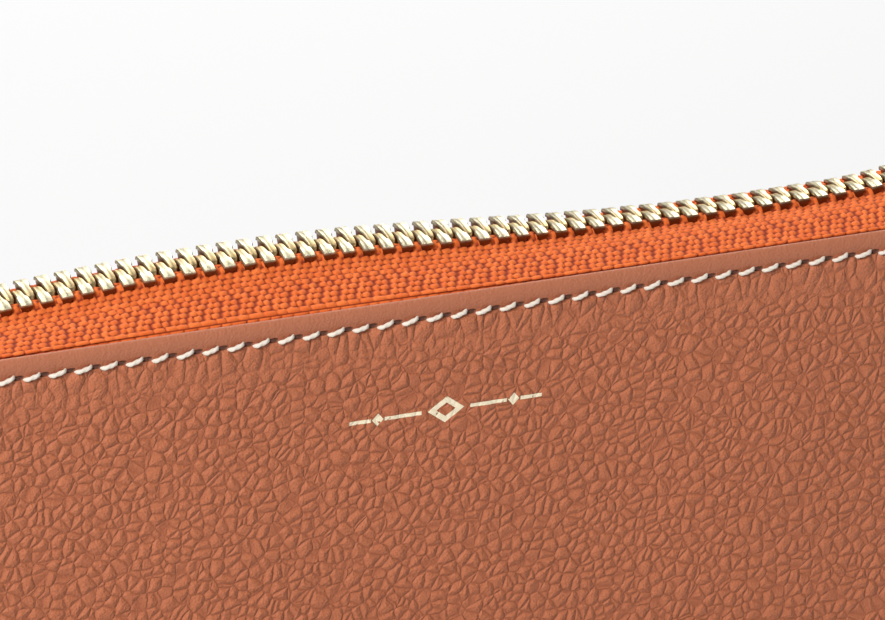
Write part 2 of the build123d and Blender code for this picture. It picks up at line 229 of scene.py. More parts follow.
def round_corners(x, t, half_x, half_t, upper, lower):
    """Moves the points of a square-cornered grid onto a sheet with rounded corners."""
    radius = np.where(t > 0, upper, lower)
    in_x = np.maximum(np.abs(x) - (half_x - radius), 0) / radius
    in_t = np.maximum(np.abs(t) - (half_t - radius), 0) / radius
    reach = np.maximum(in_x, in_t)
    share = np.minimum(in_x, in_t) / np.maximum(reach, 1e-9) * pi / 4
    turn = np.where(in_x >= in_t, share, pi / 2 - share)
    corner = (in_x > 0) & (in_t > 0)
    new_x = np.sign(x) * (half_x - radius + radius * reach * np.cos(turn))
    new_t = np.sign(t) * (half_t - radius + radius * reach * np.sin(turn))
    return np.where(corner, new_x, x), np.where(corner, new_t, t)


def soft_slab(half_x, half_t, upper, lower, thickness, cell, roll, closed=True):
    """A flat sheet with a rounded edge: x, t and depth under its face. An open one is only turned under."""
    in_x, in_t = half_x - roll, half_t - roll
    columns = max(4, int(2 * in_x / cell) + 1)
    rows = max(4, int(2 * in_t / cell) + 1)
    x, t = np.meshgrid(np.linspace(-in_x, in_x, columns), np.linspace(-in_t, in_t, rows))
    up, low = max(upper - roll, 0.05), max(lower - roll, 0.05)
    x, t = round_corners(x, t, in_x, in_t, up, low)
    face = np.stack([x, t, np.zeros_like(x)], axis=-1).reshape(-1, 3)
    number = np.arange(rows * columns).reshape(rows, columns)
    loop = np.concatenate(
        [number[0, :-1], number[:-1, -1], number[-1, :0:-1], number[:0:-1, 0]]
    )
    radius = np.where(face[loop, 1] > 0, up, low)
    way = np.zeros((len(loop), 2))
    for axis, half in ((0, in_x), (1, in_t)):
        over = np.maximum(np.abs(face[loop, axis]) - (half - radius), 0)
        way[:, axis] = np.sign(face[loop, axis]) * over
    way /= np.linalg.norm(way, axis=1)[:, None]
    points, quads, last = [face], [grid_quads(rows, columns)], loop
    count = len(face)
    steps = 8
    for k in range(1, steps if closed else steps + 2):
        turn = pi * min(k, steps) / steps
        out = roll * sin(turn) if k <= steps else -TURNED_UNDER
        depth = thickness / 2 * (1 - cos(turn))
        edge = face[loop].copy()
        edge[:, :2] += way * out
        edge[:, 2] = depth
        points.append(edge)
        ring = np.arange(count, count + len(loop))
        quads.append(ring_quads(ring, last))
        last, count = ring, count + len(loop)
    if closed:
        back = face.copy()
        back[:, 2] = thickness
        points.append(back)
        quads.append(ring_quads(loop + count, last))
        quads.append(grid_quads(rows, columns, count)[:, ::-1])
    return np.concatenate(points), np.concatenate(quads)


# Node trees: the same helpers build shader trees and geometry trees


class Flow:
    """A number, vector or colour in a node tree; arithmetic on it adds maths nodes to the tree."""

    def __init__(self, tree, socket):
        self.tree = tree
        self.socket = socket

    def __add__(self, other):
        return maths("ADD", self, other)

    def __sub__(self, other):
        return maths("SUBTRACT", self, other)

    def __rsub__(self, other):
        return maths("SUBTRACT", other, self)

    def __mul__(self, other):
        return maths("MULTIPLY", self, other)

    def __truediv__(self, other):
        return maths("DIVIDE", self, other)

    def __abs__(self):
        return maths("ABSOLUTE", self)


def add_node(tree, kind, settings=None, **inputs):
    """A node's outputs; an input is named, or i and its number, and is a Flow or a plain value."""
    node = tree.nodes.new(kind)
    for name, value in (settings or {}).items():
        setattr(node, name, value)
    for key, value in inputs.items():
        by_number = key[0] == "i" and key[1:].isdigit()
        socket = node.inputs[int(key[1:]) if by_number else key.replace("_", " ")]
        if isinstance(value, Flow):
            tree.links.new(value.socket, socket)
        elif socket.type == "RGBA":
            socket.default_value = (*value, 1.0)
        else:
            socket.default_value = value
    return [Flow(tree, socket) for socket in node.outputs]


def maths(operation, first, second=0.0):
    flow = first if isinstance(first, Flow) else second
    kind = "ShaderNodeMath" if flow.socket.type == "VALUE" else "ShaderNodeVectorMath"
    return add_node(flow.tree, kind, {"operation": operation}, i0=first, i1=second)[0]


def ramp_between(value, low, high, start=0.0, end=1.0):
    """Eases from start to end while value goes from low to high."""
    ends = {"From_Min": low, "From_Max": high, "To_Min": start, "To_Max": end}
    settings = {"interpolation_type": "SMOOTHSTEP"}
    return add_node(value.tree, "ShaderNodeMapRange", settings, Value=value, **ends)[0]


def noise(where, scale, detail=2.0, output=0):
    return add_node(where.tree, "ShaderNodeTexNoise", Vector=where, Scale=scale, Detail=detail)[output]


def from_crease(where, scale):
    """Distance from the borders of random cells."""
    settings = {"feature": "DISTANCE_TO_EDGE"}
    return add_node(where.tree, "ShaderNodeTexVoronoi", settings, Vector=where, Scale=scale)[0]


def split(flow):
    return add_node(flow.tree, "ShaderNodeSeparateXYZ", Vector=flow)


def mixed(share, first, second):
    """A colour between two colours, each given as three numbers or a Flow."""
    inputs = {"i0": share, "i6": first, "i7": second}
    return add_node(share.tree, "ShaderNodeMix", {"data_type": "RGBA"}, **inputs)[2]


def shade_of(colour, strength):
    return tuple(strength * part for part in colour)


def material_of(name, roughness, metallic=0.0, specular=0.5, sheen=0.0):
    """A new material, its tree and its shader."""
    material = bpy.data.materials.new(name)
    material.use_nodes = True
    tree = material.node_tree
    shader = tree.nodes["Principled BSDF"]
    shader.inputs["Roughness"].default_value = roughness
    shader.inputs["Metallic"].default_value = metallic
    shader.inputs["Specular IOR Level"].default_value = specular
    shader.inputs["Sheen Weight"].default_value = sheen
    return material, tree, shader


def feed(shader, name, flow):
    flow.tree.links.new(flow.socket, shader.inputs[name])


def bumped(shader, height, distance):
    """Tilts the surface; distance is the depth in metres that one unit of height stands for."""
    feed(shader, "Normal", add_node(height.tree, "ShaderNodeBump", Height=height, Distance=distance)[0])


def attribute(tree, name):
    """A vector that the mesh carries at each point."""
    return add_node(tree, "ShaderNodeAttribute", {"attribute_name": name})[1]


def place_mm(tree):
    """Object coordinates in millimetres."""
    where = Flow(tree, tree.nodes.new("ShaderNodeTexCoord").outputs["Object"])
    return where * (1 / MM, 1 / MM, 1 / MM)


# The cover's grain: pebbles inside the seam, upright wrinkles beside it, almost smooth at the edge

PEBBLES = 0.64  # cells per millimetre
SMALL_PEBBLES = 1.35
WRINKLES = 0.62
PEBBLES_FROM, PEBBLES_FULL = 3.0, 9.0  # distances from the cover's edge


def domed(distance, reach):
    """A round-topped pebble: steep at its crease and level from reach inwards."""
    part = maths("MINIMUM", distance / reach, 1.0)
    return part * (2.0 - part)


def grain(flat, rim):
    """Height from 0 in a crease to 1 on a pebble, and the share of plain smooth leather."""
    drift = noise(flat, 0.32, 3.0, output=1) - (0.5, 0.5, 0.5)
    bent = flat + drift * (1.5, 1.5, 0.0)
    pebble = domed(from_crease(bent, PEBBLES), 0.5)
    small = domed(from_crease(bent, SMALL_PEBBLES), 0.34)
    wrinkle = domed(from_crease(rim * (1.0, 0.5, 0.0) + drift, WRINKLES), 0.36)
    from_edge = split(rim)[1]
    far = ramp_between(from_edge, PEBBLES_FROM, PEBBLES_FULL)
    plain = ramp_between(from_edge, SEAM + 0.8, SEAM - 0.3)
    return (pebble * far + wrinkle * (1.0 - far)) * (small * 0.2 + 0.8), plain


def grain_group(depth):
    """A geometry tree that lifts the flat cover's pebbles by up to depth, in metres."""
    tree = bpy.data.node_groups.new("leather_relief", "GeometryNodeTree")
    tree.interface.new_socket("Geometry", in_out="INPUT", socket_type="NodeSocketGeometry")
    tree.interface.new_socket("Geometry", in_out="OUTPUT", socket_type="NodeSocketGeometry")
    start = Flow(tree, tree.nodes.new("NodeGroupInput").outputs[0])
    end = tree.nodes.new("NodeGroupOutput")
    named = {"data_type": "FLOAT_VECTOR"}
    flat, rim = (
        add_node(tree, "GeometryNodeInputNamedAttribute", named, Name=name)[0]
        for name in ("flat", "rim")
    )
    height, plain = grain(flat, rim)
    lift = height * (1.0 - plain * 0.9) * depth
    offset = add_node(tree, "ShaderNodeCombineXYZ", Z=lift)[0]
    moved = add_node(tree, "GeometryNodeSetPosition", Geometry=start, Offset=offset)[0]
    tree.links.new(moved.socket, end.inputs[0])
    return tree


# Materials

LEATHER_TOP = (0.51, 0.156, 0.068)
# Painted shade: the darker colour laid into the grain's creases, the groove under the stitches and the thin
# leather's fine creases
LEATHER_CREASE_SHADE = (0.38, 0.108, 0.046)
LEATHER_EDGE = (0.46, 0.155, 0.078)
# Painted shade of the pricked stitch holes, which the mesh is too coarse to cut
STITCH_HOLE_SHADE = (0.035, 0.012, 0.008)
FOIL = (0.96, 0.84, 0.60)
FOIL_X, FOIL_BELOW_EDGE = 0.85, 15.0
FOIL_LINE = 0.24


def foil_share(flat):
    """1 on the foil mark: a lozenge between two thin bars, each broken by a small lozenge."""
    x, t, _ = split(flat - (FOIL_X, FLAT_HALF - FOIL_BELOW_EDGE, 0.0))
    x, t = abs(x), abs(t)

    def lozenge(middle, half_x, half_t):
        return maths("LESS_THAN", abs(x - middle) / half_x + t / half_t, 1.0)

    def bar(middle, half_x):
        return maths("LESS_THAN", abs(x - middle), half_x) * maths("LESS_THAN", t, FOIL_LINE)

    mark = lozenge(0.0, 2.4, 1.75) - lozenge(0.0, 1.25, 0.9)
    for shape in (bar(5.6, 2.4), lozenge(8.9, 0.75, 0.85), bar(11.2, 1.4)):
        mark = maths("MAXIMUM", mark, shape)
    return mark * maths("GREATER_THAN", split(flat)[1], 0.0)


def stitch_marks(rim):
    """How much a point lies in a stitch's pricked hole, and in the groove under the stitches; both masks
    darken the colour as painted shade.
    """
    along, from_edge, _ = split(rim)
    gap = maths("PINGPONG", maths("FRACT", along / STITCH_PITCH), 0.5) * STITCH_PITCH
    aside = abs(from_edge - SEAM)
    near_hole = maths("POWER", gap * 0.6, 2.0) + maths("POWER", aside * 1.3, 2.0)
    return ramp_between(near_hole, 0.2, 0.03), ramp_between(aside, 0.75, 0.1)


def cover_material():
    """Pebbled tan leather with pricked stitch holes and the foil mark; its creases, the groove under the
    stitches and the holes get painted shade.
    """
    material, tree, shader = material_of("pebbled_leather", 0.5, specular=0.35)
    flat, rim = attribute(tree, "flat"), attribute(tree, "rim")
    height, plain = grain(flat, rim)
    hole, groove = stitch_marks(rim)
    pores = noise(flat, 4.5, 3.0)
    tops = mixed(noise(flat, 0.045, 3.0), shade_of(LEATHER_TOP, 0.9), shade_of(LEATHER_TOP, 1.1))
    tops = mixed(ramp_between(pores, 0.3, 0.8, 0.0, 0.6), tops, shade_of(LEATHER_TOP, 0.6))
    # Painted shade in the creases between the pebbles
    crease_shaded = mixed(ramp_between(height, -0.1, 0.42), LEATHER_CREASE_SHADE, tops)
    edge = mixed(pores * 0.3, LEATHER_EDGE, shade_of(LEATHER_EDGE, 0.7))
    colour = mixed(plain * 0.9, crease_shaded, edge)
    # Painted shade in the groove under the stitches
    colour = mixed(groove * 0.4, colour, LEATHER_CREASE_SHADE)
    # Painted shade: the pricked stitch holes are painted nearly black
    colour = mixed(hole * 0.85, colour, STITCH_HOLE_SHADE)
    worn = foil_share(flat) * ramp_between(noise(flat, 1.6, 4.0), 0.28, 0.4)
    feed(shader, "Base Color", mixed(worn, colour, FOIL))
    feed(shader, "Metallic", worn * 0.25)
    feed(shader, "Roughness", 0.62 - height * 0.12 - worn * 0.15)
    relief = height * (1.0 - plain * 0.92) + noise(flat, 3.2, 6.0) * 0.42 - hole * 1.5
    bumped(shader, relief * (1.0 - worn * 0.6), 0.0003)
    return material


def thin_leather_material():
    """Smooth calfskin of the card slots, pocket walls, gussets and tabs, with a fine grain whose creases
    get painted shade.
    """
    material, tree, shader = material_of("smooth_leather", 0.48, specular=0.35)
    where = place_mm(tree)
    fine = ramp_between(from_crease(where, 1.9), 0.0, 0.25)
    colour = mixed(noise(where, 0.07, 3.0), shade_of(LEATHER_TOP, 0.8), LEATHER_TOP)
    # Painted shade in the fine grain's creases
    feed(shader, "Base Color", mixed((1.0 - fine) * 0.45, colour, LEATHER_CREASE_SHADE))
    bumped(shader, fine + noise(where, 4.0, 3.0), 0.00006)
    return material


def lining_material():
    """A fine twill: narrow diagonal ribs crossed by single threads."""
    material, tree, shader = material_of("lining_twill", 0.85, specular=0.2, sheen=0.25)
    where = place_mm(tree)
    x, y, z = split(where)
    up = z + y
    rib = maths("SINE", (x + up) * 9.0)
    crossing = maths("SINE", (x - up) * 17.0)
    twill = rib * 0.35 + crossing * 0.15 + 0.5
    colour = mixed(twill, (0.15, 0.05, 0.026), (0.33, 0.125, 0.07))
    feed(shader, "Base Color", mixed(noise(where, 0.1, 3.0) * 0.4, colour, (0.2, 0.07, 0.04)))
    bumped(shader, twill, 0.00008)
    return material


def tape_material():
    """Orange yarn with painted shade in the low gaps between knots; the mesh carries how high each point is
    in the weave.
    """
    material, tree, shader = material_of("woven_tape", 0.78, specular=0.2, sheen=0.04)
    high, along, knot = split(attribute(tree, "weave"))
    hairs = noise(place_mm(tree), 7.0, 3.0)
    yarn = mixed(knot, (0.80, 0.150, 0.026), (0.92, 0.205, 0.042))
    yarn = mixed(hairs * 0.4, yarn, (0.40, 0.07, 0.018))
    # Painted shade: the low gaps between knots are painted dark red-brown
    feed(shader, "Base Color", mixed(ramp_between(high, 0.0, 0.6), (0.22, 0.024, 0.007), yarn))
    bumped(shader, hairs + maths("SINE", along * 40.0) * 0.1, 0.00005)
    return material


def thread_material():
    material, tree, shader = material_of("ecru_thread", 0.6, specular=0.3, sheen=0.3)
    fibres = noise(place_mm(tree), 9.0, 3.0)
    feed(shader, "Base Color", mixed(fibres, (0.60, 0.52, 0.42), (0.86, 0.79, 0.69)))
    bumped(shader, fibres, 0.00004)
    return material


def gold_material():
    """Pale gold plating with faint die marks and a warmer tone where it is less polished."""
    material, tree, shader = material_of("pale_gold", 0.24, metallic=1.0)
    where = place_mm(tree)
    feed(shader, "Base Color", mixed(noise(where, 0.7, 3.0), (0.93, 0.80, 0.55), (0.88, 0.70, 0.40)))
    streaks = noise(where * (6.0, 1.2, 6.0), 1.0, 2.0)
    feed(shader, "Roughness", ramp_between(streaks, 0.2, 0.8, 0.16, 0.36))
    bumped(shader, streaks, 0.00002)
    return material


def tooth_material():
    """The same plating on a tooth, painted paler towards its leg's end as a highlight, with painted shade
    in its groove and low on its sides.
    """
    material, tree, shader = material_of("pale_gold_teeth", 0.3, metallic=1.0)
    along, across, rise = split(attribute(tree, "tooth"))
    where = place_mm(tree)
    tone = noise(where, 0.9, 3.0)
    # Painted highlight: paler cream towards the leg's end, where the bevel faces the camera, deeper gold at
    # the head
    gold_with_painted_light = mixed(ramp_between(across, 1.2, -0.6), (0.60, 0.53, 0.37), (0.66, 0.46, 0.20))
    gold_with_painted_light = mixed(tone * 0.5, gold_with_painted_light, (0.46, 0.41, 0.28))
    # Painted shade in the groove along the tooth's top
    gold_with_painted_light = mixed(ramp_between(abs(along), 0.2, 0.05) * 0.4, gold_with_painted_light, (0.22, 0.20, 0.12))
    # Painted brown shade low on the head's sides, standing for shadow and the leather's reflection
    low = ramp_between(rise, 1.0, 0.7) * ramp_between(across, -1.3, -0.2)
    feed(shader, "Base Color", mixed(low, gold_with_painted_light, (0.17, 0.075, 0.03)))
    feed(shader, "Roughness", ramp_between(tone, 0.2, 0.8, 0.34, 0.5))
    bumped(shader, noise(where, 5.0, 2.0), 0.00003)
    return material


def board_material():
    material, tree, shader = material_of("fibre_board", 0.9, specular=0.1)
    specks = noise(place_mm(tree), 1.5, 4.0)
    feed(shader, "Base Color", mixed(specks, (0.36, 0.29, 0.21), (0.55, 0.47, 0.37)))
    return material


pebbled = cover_material()
thin_leather = thin_leather_material()
lining = lining_material()
tape_cloth = tape_material()
thread = thread_material()
gold = gold_material()
tooth_gold = tooth_material()

slot_materials = {
    "cover_leather": thin_leather,
    "lining_leather": thin_leather,
    "lining_cloth": lining,
    "zip_tape": tape_cloth,
    "zip_metal": gold,
    "stiffener_board": board_material(),
}
for entry in frame["record"]["subparts"]:
    node = frame["nodes"][entry["node"]]
    node.data.materials.clear()
    node.data.materials.append(slot_materials[entry["material_slot"]])


# Cover


def bend(flat):
    """From the flat cover (x, t, depth under the face) to its place round the wallet."""
    x, t, depth = flat[:, 0], flat[:, 1], flat[:, 2]
    side = -np.sign(t)
    reach = np.abs(t)
    turn = np.clip((reach - SPINE_FLAT) / FOLD, 0, pi / 2)
    radius = FOLD - depth
    y = np.minimum(reach, SPINE_FLAT) + radius * np.sin(turn)
    z = FOLD - radius * np.cos(turn) + np.maximum(reach - PANEL_START, 0)
    return np.stack([x, side * y, z], axis=1)


def rim_place(x, t):
    """Distance along the seam from the panel's middle, and distance from the cover's edge."""
    to_side, to_top = HALF_LENGTH - np.abs(x), FLAT_HALF - np.abs(t)
    in_x, in_t = CORNER - to_side, CORNER - to_top
    corner = (in_x > 0) & (in_t > 0)
    turn = np.arctan2(np.maximum(in_x, 0), np.maximum(in_t, 1e-6))
    arc = (CORNER - SEAM) * turn
    from_edge = np.where(corner, CORNER - np.hypot(in_x, in_t), np.minimum(to_side, to_top))
    on_side = to_side < to_top
    side_run = RUN_HALF + (CORNER - SEAM) * pi / 2 + np.maximum(to_top - CORNER, 0)
    along = np.where(corner, RUN_HALF + arc, np.where(on_side, side_run, np.abs(x)))
    return along, from_edge


def swell(x, t, from_edge):
    """Depth of the face: a groove under the stitches, and the panels' slack, which stands out a little."""
    groove = GROOVE_DEPTH * np.exp(-(((from_edge - SEAM) / 0.6) ** 2))
    inside = smooth(from_edge, 3.0, 30.0)
    slack = -SLACK * inside * (1 + 0.5 * np.sin(x / 23.0 + 1.0) * np.sin(t / 17.0))
    slack = slack * smooth(np.abs(t), PANEL_START, PANEL_START + 6.0)
    return (groove + slack) * smooth(from_edge, -0.1, 0.7)


def cover_skin():
    """The covers' and spine's leather: its grain is raised while it lies flat, then it is bent round."""
    points, quads = soft_slab(
        HALF_LENGTH, FLAT_HALF, CORNER, CORNER, LEATHER, SKIN_CELL, ROLL, closed=False
    )
    along, from_edge = rim_place(points[:, 0], points[:, 1])
    underneath = points[:, 2] > 0.5 * LEATHER
    from_edge = np.where(underneath, 0.0, from_edge)
    points[:, 2] += np.where(underneath, 0.0, swell(points[:, 0], points[:, 1], from_edge))
    flat_mesh = mesh_of("cover_flat", points * (1, 1, -1), quads)
    vector_attribute(flat_mesh, "flat", np.stack([points[:, 0], points[:, 1], 0 * along], axis=1))
    vector_attribute(flat_mesh, "rim", np.stack([along, from_edge, 0 * along], axis=1))
    sheet = placed("cover_flat", flat_mesh)
    relief = sheet.modifiers.new("relief", "NODES")
    relief.node_group = grain_group(PEBBLE_DEPTH)
    graph = bpy.context.evaluated_depsgraph_get()
    mesh = bpy.data.meshes.new_from_object(sheet.evaluated_get(graph))
    bpy.data.objects.remove(sheet)
    flat = np.empty(len(mesh.vertices) * 3)
    mesh.vertices.foreach_get("co", flat)
    place = settle(bend(flat.reshape(-1, 3) / MM * (1, 1, -1)))
    mesh.vertices.foreach_set("co", (place * MM).ravel())
    mesh.update()
    on_rear_panel = mesh.polygons[len(mesh.polygons) // 8]
    if on_rear_panel.normal.y < 0:
        mesh.flip_normals()
    return piece_of("cover_leather_skin", mesh, pebbled, "cover_leather")


def seam_frame(along, half, panel):
    """Point, direction and outward way of the seam on the flat cover."""
    arc_radius = CORNER - SEAM
    arc = arc_radius * pi / 2
    turn = min(max((along - RUN_HALF) / arc_radius, 0), pi / 2)
    x = min(along, RUN_HALF) + arc_radius * sin(turn)
    t = FLAT_HALF - CORNER + arc_radius * cos(turn) - max(along - RUN_HALF - arc, 0)
    point = np.array([half * x, panel * t])
    onward = np.array([half * cos(turn), -panel * sin(turn)])
    outward = np.array([half * sin(turn), panel * cos(turn)])
    return point, onward, outward


def stitch_shape():
    """One stitch along the first axis: a two-ply thread that dips into its holes at both ends."""
    stations, around = 15, 10
    part = np.linspace(-1, 1, stations)
    turn = np.linspace(0, 2 * pi, around, endpoint=False)
    taper = np.sqrt(np.clip(1.02 - part**6, 0.02, 1))
    ply = 1 + 0.13 * np.cos(2 * (turn[None, :] - part[:, None] * 4.2))
    radius = THREAD * taper[:, None] * ply
    lift = 0.2 - 0.42 * part**4
    length = np.repeat(part[:, None] * STITCH_HALF, around, axis=1)
    depth = -(lift[:, None] + radius * np.sin(turn) * 0.85)
    return tube(np.stack([length, radius * np.cos(turn), depth], axis=-1))


def cover_stitching():
    """Slanted saddle stitches along three sides of both panels."""
    shape, quads = stitch_shape()
    dice = np.random.default_rng(4)
    last = RUN_HALF + (CORNER - SEAM) * pi / 2 + FLAT_HALF - CORNER - PANEL_START - 2.0
    parts = []
    for panel in (1, -1):
        for half in (1, -1):
            for k in range(int(last / STITCH_PITCH)):
                along = (k + 0.5) * STITCH_PITCH
                point, onward, outward = seam_frame(along, half, panel)
                slant = half * STITCH_SLANT * (1 + dice.uniform(-0.2, 0.2))
                length = 1 + dice.uniform(-0.04, 0.04)
                way = onward * cos(slant) + outward * sin(slant)
                across = outward * cos(slant) - onward * sin(slant)
                plan = point + np.outer(shape[:, 0] * length, way) + np.outer(shape[:, 1], across)
                parts.append((np.column_stack([plan, shape[:, 2]]), quads))
    points, quads = joined(parts)
    place = settle(bend(points))
    return piece_of("cover_stitching", mesh_of("cover_stitching", place, quads), thread, "zip_tape")


def follow_covers(piece):
    """The cover is one skin; its placement is baked into its mesh."""
    -LEATHER_IN * MM
    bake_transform(piece)


skin = cover_skin()
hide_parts("rear_cover_leather", "front_cover_leather", "spine_leather")
follow_covers(skin)
follow_covers(cover_stitching())


# Main zip


def wave(x):
    """How far the chain rises along the top; it is straight again before both corners."""
    fade = smooth(RUN_HALF - np.abs(x), 0.0, WAVE_FADE)
    dip = DIP_DEPTH * np.exp(-(((x - DIP_X) / DIP_LENGTH) ** 2))
    return fade * (WAVE_HEIGHT * np.cos(2 * pi * (x - WAVE_CREST_X) / WAVE_LENGTH) - dip)


def rim(distance):
    """Points and directions (as angles) of the chain at distances from the tape's left foot."""
    first = np.minimum(distance, RIM_LENGTH - distance)
    mirror = np.where(distance > RIM_LENGTH / 2, -1.0, 1.0)
    turn = np.clip((first - SIDE_RUN) / CHAIN_RADIUS, 0, pi / 2)
    run = np.maximum(first - SIDE_RUN - CORNER_ARC, 0)
    x = mirror * (-RUN_HALF - CHAIN_RADIUS * np.cos(turn) + run)
    rise = np.where(run > 0, wave(x), 0.0)
    z = TAPE_FOOT + np.minimum(first, SIDE_RUN) + CHAIN_RADIUS * np.sin(turn) + rise
    step = 0.05
    slope = (wave(x + step) - wave(x - step)) / (2 * step)
    angle = np.where(run > 0, np.arctan(slope), mirror * (pi / 2 - turn))
    return x, z, angle


def spread_at(x, z):
    """How far each row is pushed aside below the slider, on the right-hand side."""
    part = smooth(-z, -(SLIDER_Z + 3.5), -(SLIDER_Z - 0.7))
    return np.where(x > CHAIN_X - 1, SPREAD * part, 0.0)


def lean_at(x):
    """Angle by which the closed chain is tipped, which changes from left to right."""
    twist = 1 - TWIST * smooth(x, -8.0, 42.0)
    return LEAN * twist * smooth(RUN_HALF - np.abs(x), 0.0, WAVE_FADE)


def tipped(y, rise, lean):
    """Across and rise, turned by lean about the chain's own line."""
    return y * np.cos(lean) - rise * np.sin(lean), rise * np.cos(lean) + y * np.sin(lean)


def rim_place_at(distance, side, across, rise):
    """Points at distances along the chain, across from the middle plane and risen outwards."""
    x, z, angle = rim(distance)
    near = smooth(9.5 - across, 0.0, 6.0)
    y = side * (across + spread_at(x, z) * near)
    y, rise = tipped(y, rise, lean_at(x) * near)
    return np.stack([x - rise * np.sin(angle), y, z + rise * np.cos(angle)], axis=-1)


SHARP_EDGE = radians(32)

# Stations of a tooth from its leg's end to its nose: across, half width, top and underside
TOOTH = (
    (2.74, 0.70, 0.86, 0.46),
    (2.70, 0.78, 1.04, 0.30),
    (2.20, 0.79, 1.16, -0.6),
    (1.80, 0.79, 1.22, -1.25),
    (1.20, 0.74, 1.24, -1.25),
    (0.90, 0.56, 1.20, -1.15),
    (-0.30, 0.54, 1.10, -1.0),
    (-0.85, 0.47, 0.92, -0.8),
    (-1.10, 0.32, 0.55, -0.45),
)


def tooth_shape():
    """A leg that grips the tape and a head that reaches past the middle, with a grooved top."""
    rings = []
    for across, half, top, under in TOOTH:
        waist = 0.7 * half
        lip = max(top - 0.34, under + 0.04)
        neck = max(top - 0.55, under + 0.02)
        right = [
            (0.02, top - 0.07),
            (0.14, top - 0.01),
            (half - 0.12, top),
            (half, top - 0.1),
            (half, lip),
            (waist, neck),
            (waist - 0.1, under),
        ]
        section = right + [(-u, r) for u, r in reversed(right)]
        rings.append([(u, across, r) for u, r in section])
    return tube(rings)


def row_piece(name, places, node):
    """All teeth of a row as one piece, which stands for the CAD node's teeth."""
    shape, quads = tooth_shape()
    points, faces = joined([(place, turned_out(place, quads)) for place in places])
    mesh = mesh_of(name, points, faces)
    vector_attribute(mesh, "tooth", np.tile(shape, (len(places), 1)))
    mesh.set_sharp_from_angle(angle=SHARP_EDGE)
    piece = piece_of(name, mesh, tooth_gold, "zip_metal")
    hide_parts(node)
    return piece


def teeth_row(name, side, node):
    """One row of the main zip, each tooth a little out of line."""
    shape = tooth_shape()[0]
    first = TEETH_START_Z - TAPE_FOOT + (PITCH / 2 if side == REAR else 0.0)
    last = RIM_LENGTH - (TEETH_END_Z - TAPE_FOOT)
    dice = np.random.default_rng(7 + side)
    places = []
    for k in range(int((last - first) / PITCH) + 1):
        x, z, angle = (float(v) for v in rim(np.array(first + k * PITCH)))
        turn = angle + dice.normal(0, 0.015)
        along, rise = shape[:, 0], shape[:, 2] + dice.normal(0, 0.02)
        across = side * (shape[:, 1] + float(spread_at(np.array(x), np.array(z))))
        y, up = tipped(across, rise, float(lean_at(x)))
        u = x + along * cos(turn) - up * sin(turn)
        w = z + along * sin(turn) + up * cos(turn)
        places.append(settle(np.stack([u, y, w], axis=1)))
    return row_piece(name, places, node)


TAPE_WIDTH = 15.0
TAPE_THICK = 0.5
BEAD, REAR_BEAD = 0.62, 0.1  # the rear tape's cord lies hidden between the legs
ROW_PITCH = 0.85
KNOT_PITCH = 1.08
HERRINGBONE_FROM = 4.25
BRICKS_FROM = 8.5
YARN_RELIEF, YARN_SUNK = 0.34, 0.2  # height of a knot, and how far the gaps lie under the tape's face
SHADES = 997


def weave(along, across, dice):
    """Height of the tape's weave from 0 to 1, the place along its yarn and the shade of each knot."""
    row = np.floor(across / ROW_PITCH)
    v = across / ROW_PITCH - row - 0.5
    diagonal = smooth(across, HERRINGBONE_FROM - 0.5, HERRINGBONE_FROM + 0.5)
    brick = across > BRICKS_FROM
    zigzag = 0.42 * np.abs((row + 5) % 8 - 4)
    shift = np.where(brick, 0.5 * (row % 2), np.where(diagonal > 0.5, zigzag, 0.5 * (row % 2)))
    pitch = np.where(brick, 1.45 * KNOT_PITCH, KNOT_PITCH)
    wobble = 0.10 * np.sin(along * 0.9 + row * 1.7) + 0.08 * np.sin(along * 2.3 + row * 4.1)
    place = along / pitch + shift + wobble
    knot = np.floor(place)
    u = place - knot - 0.5
    lean = np.where(brick, 0.0, 0.45)
    v = v + lean * u
    body = np.clip(1 - (2 * np.abs(u)) ** 2.4, 0, 1) * np.clip(1 - (2 * np.abs(v)) ** 2, 0, 1)
    pair = place / 2 - np.floor(place / 2)
    gap = np.exp(-((np.minimum(pair, 1 - pair) / 0.17) ** 2)) * diagonal * ~brick
    shade = dice[(knot.astype(int) * 13 + row.astype(int) * 7) % len(dice)]
    return np.sqrt(body) * (1 - 0.7 * gap) * (0.85 + 0.15 * shade), place, shade


def tape_profile(edge_rise, side):
    """Across and rise of the tape's face, from its inner edge out to its end under the leather."""
    turn = np.linspace(0, pi / 2, 24)[1:]
    foot = LEATHER_IN - 0.15
    shoulder = 2.7
    crown = -0.05
    even = turn / (pi / 2)
    round_share = 0.3 if side == FRONT else 0.0
    bulge = even + round_share * (1 - np.cos(turn) - even)
    out = even + round_share * (np.sin(turn) - even)
    across = np.concatenate([[0.75, 1.6, shoulder], shoulder + (foot - shoulder) * out])
    inner = crown if side == FRONT else crown - 0.75
    rise = np.concatenate([[inner, inner, inner], inner + (edge_rise - inner) * bulge])
    across = np.append(across, foot)
    rise = np.append(rise, edge_rise - 9.0)
    return across, rise


